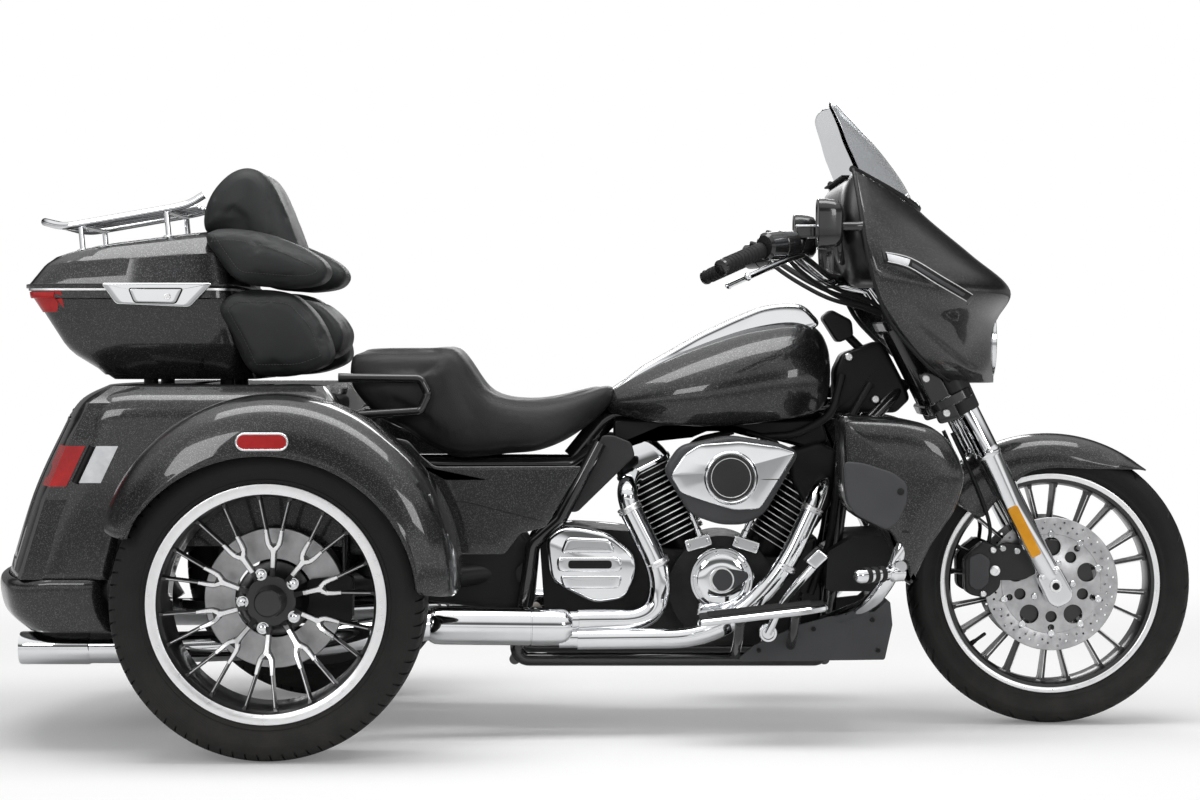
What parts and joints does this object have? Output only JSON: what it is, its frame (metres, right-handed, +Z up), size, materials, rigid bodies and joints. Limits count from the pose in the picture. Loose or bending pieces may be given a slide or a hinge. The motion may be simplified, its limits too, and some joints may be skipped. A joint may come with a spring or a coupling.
{
  "type": "motorized trike",
  "caption": "Full-size touring trike with a V-twin engine, fork-mounted fairing, wide rear body with fenders, hatch, and a hinged tour pack.",
  "frame": {"origin": "on the floor under the middle of the vehicle's length and width", "axes": "+X forward, +Y to the rider's left, +Z up"},
  "size_m": [2.6706, 1.398, 1.4023],
  "materials": {
    "tyre": "matte rubber with fine moulded bands",
    "wheel_black": "gloss black with machined bright edges",
    "brake_steel": "ground friction faces",
    "gloss_black": "gloss black",
    "satin_black": "satin black",
    "engine_black": "wrinkle black with bright fin edges",
    "matte_black": "grained plastic",
    "chrome": "polished",
    "charcoal_paint": "charcoal metallic under clear coat",
    "satin_grey": "satin dark grey",
    "black_leather": "grained, stitched",
    "black_vinyl": "smooth grained vinyl",
    "red_lens": "clear red lens",
    "lamp_lens": "clear lens over a bright reflector",
    "smoke_screen": "smoked clear polycarbonate"
  },
  "bodies": {
    "chassis": {"frame": "gloss_black", "rear_axle": "satin_black", "swing_arm": "satin_black", "rear_shocks": "satin_black", "crankcase": "engine_black", "cylinders": "engine_black", "rocker_covers": "chrome", "air_cleaner": "chrome", "pushrod_covers": "chrome", "engine_covers": "chrome", "radiator": "matte_black", "exhaust_pipes": "chrome", "mufflers": "chrome", "fuel_tank": "charcoal_paint", "tank_console": "chrome", "seat": "black_leather", "grab_rails": "gloss_black", "rear_body": "charcoal_paint", "rear_bumper": "charcoal_paint", "rear_fenders": "charcoal_paint", "side_panels": "charcoal_paint", "tour_pack_base": "charcoal_paint", "pack_latch": "chrome", "pack_pads": "black_vinyl", "pack_stand": "satin_black", "rear_lamps": "red_lens", "engine_guard": "chrome", "lower_fairings": "charcoal_paint", "chin_spoiler": "satin_grey", "floorboards": "chrome", "foot_controls": "chrome"},
    "steering": {"fork_legs": "chrome", "fork_clamps": "gloss_black", "front_calipers": "satin_black", "front_fender": "charcoal_paint", "fairing": "charcoal_paint", "headlamp": "lamp_lens", "inner_fairing": "gloss_black", "windshield": "smoke_screen", "handlebar": "gloss_black", "hand_controls": "gloss_black", "mirrors": "gloss_black"},
    "front_wheel": {"front_wheel": "wheel_black", "front_tyre": "tyre", "front_discs": "brake_steel"},
    "rear_wheel_right": {"rear_wheel_right": "wheel_black", "rear_tyre_right": "tyre"},
    "rear_wheel_left": {"rear_wheel_left": "wheel_black", "rear_tyre_left": "tyre"},
    "tour_pack_lid": {"tour_pack_lid": "charcoal_paint", "luggage_rack": "chrome", "backrest": "black_leather"},
    "trunk_hatch": {"trunk_hatch": "charcoal_paint"}
  },
  "joints": [
    {"name": "steering_turn", "type": "hinge", "parent": "chassis", "child": "steering", "pos_m": [0.97137, 0, 0.29676], "axis": [-0.4509, 0, 0.8926], "range_deg": [-32, 32]},
    {"name": "front_wheel_spin", "type": "hinge", "parent": "steering", "child": "front_wheel", "pos_m": [1.016, 0, 0.3193], "axis": [0, 1, 0], "continuous": true},
    {"name": "rear_wheel_right_spin", "type": "hinge", "parent": "chassis", "child": "rear_wheel_right", "pos_m": [-0.684, -0.545, 0.3254], "axis": [0, 1, 0], "continuous": true},
    {"name": "rear_wheel_left_spin", "type": "hinge", "parent": "chassis", "child": "rear_wheel_left", "pos_m": [-0.684, 0.545, 0.3254], "axis": [0, 1, 0], "continuous": true},
    {"name": "tour_pack_lid_hinge", "type": "hinge", "parent": "chassis", "child": "tour_pack_lid", "pos_m": [-1.02, 0.311, 0.978], "axis": [-1, 0, 0], "range_deg": [0, 75]},
    {"name": "trunk_hatch_hinge", "type": "hinge", "parent": "chassis", "child": "trunk_hatch", "pos_m": [-1.181, 0, 0.709], "axis": [0, 1, 0], "range_deg": [0, 65]}
  ]
}
